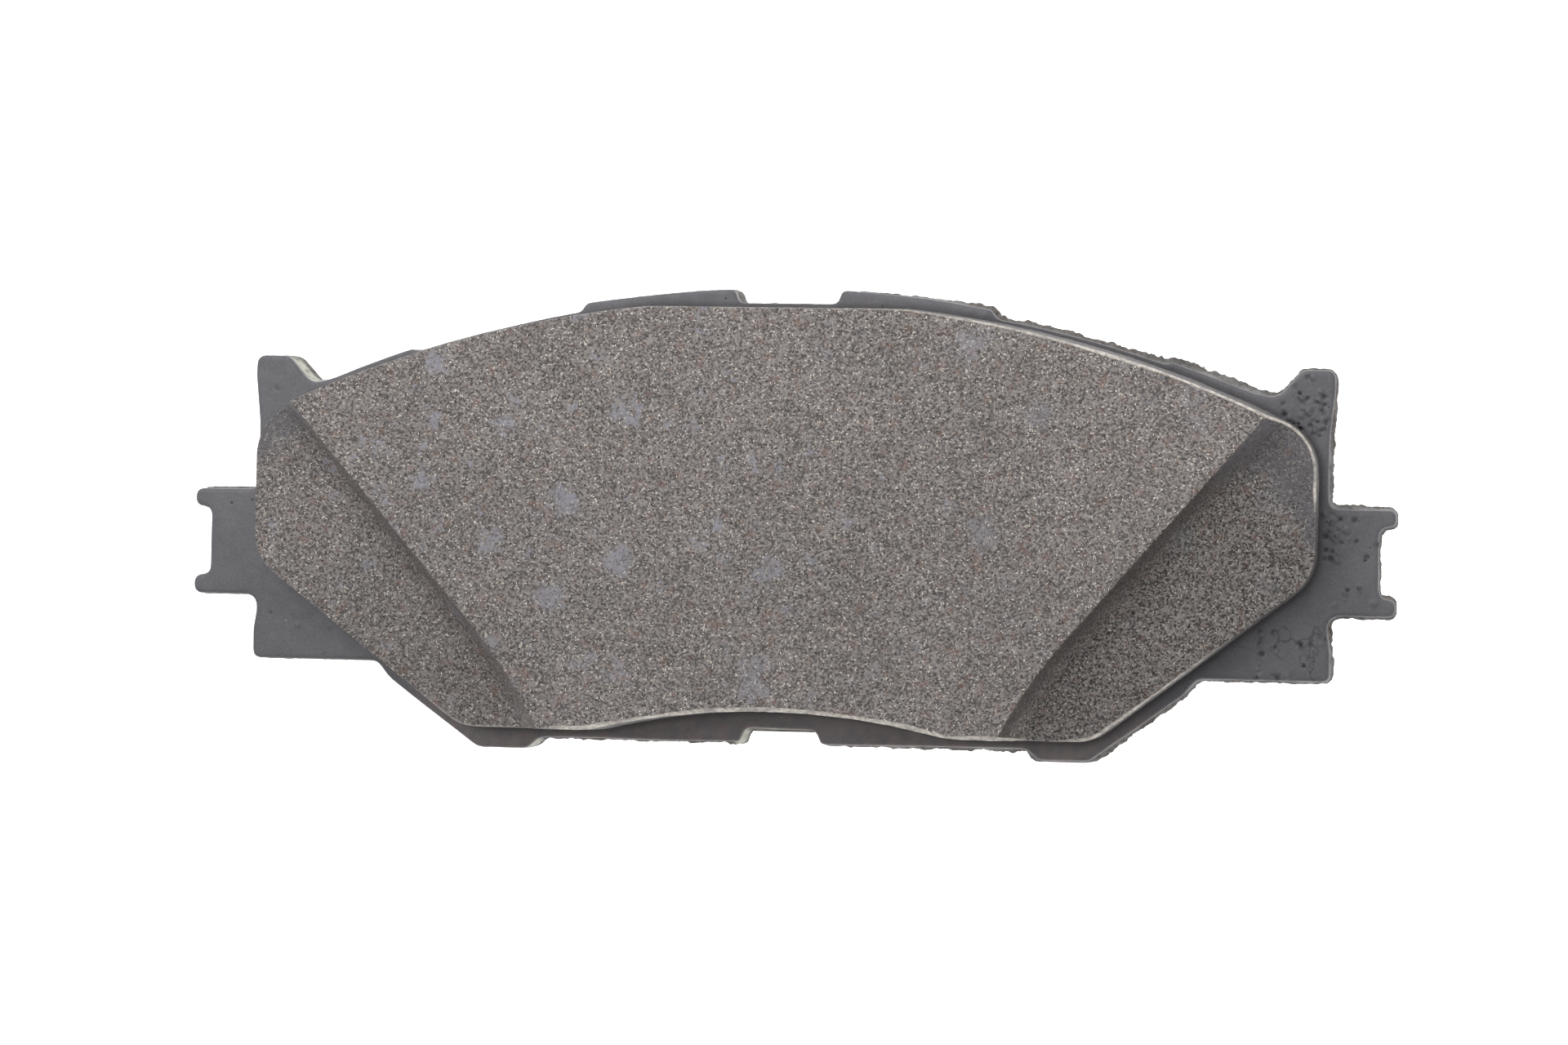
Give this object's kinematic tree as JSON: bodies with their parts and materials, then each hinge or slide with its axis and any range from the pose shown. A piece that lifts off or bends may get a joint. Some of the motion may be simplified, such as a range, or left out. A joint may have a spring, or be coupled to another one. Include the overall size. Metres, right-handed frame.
{
  "type": "disc brake pad",
  "caption": "Flat disc brake pad: a drafted friction block with lowered ends on a steel plate with ears, forked guide tabs and a noise shim.",
  "frame": {"origin": "on the plane that the back of the pad rests on, under the middle of the pad's length and width", "axes": "+X along the pad's length, +Y outward from the wheel's axis, +Z out of the friction face"},
  "size_m": [0.15, 0.0575, 0.0173],
  "materials": {
    "powder_coat": "satin",
    "friction_material": "matte",
    "underlayer_material": "matte",
    "bond_film": "matte",
    "shim_rubber": "matte",
    "shim_steel": "satin",
    "shim_glue": "matte"
  },
  "bodies": {
    "root": {"backing_plate": "powder_coat", "bond_layer": "bond_film", "underlayer": "underlayer_material", "friction_block": "friction_material", "shim_adhesive": "shim_glue", "shim_inner_rubber": "shim_rubber", "shim_steel_core": "shim_steel", "shim_outer_rubber": "shim_rubber"}
  },
  "joints": []
}
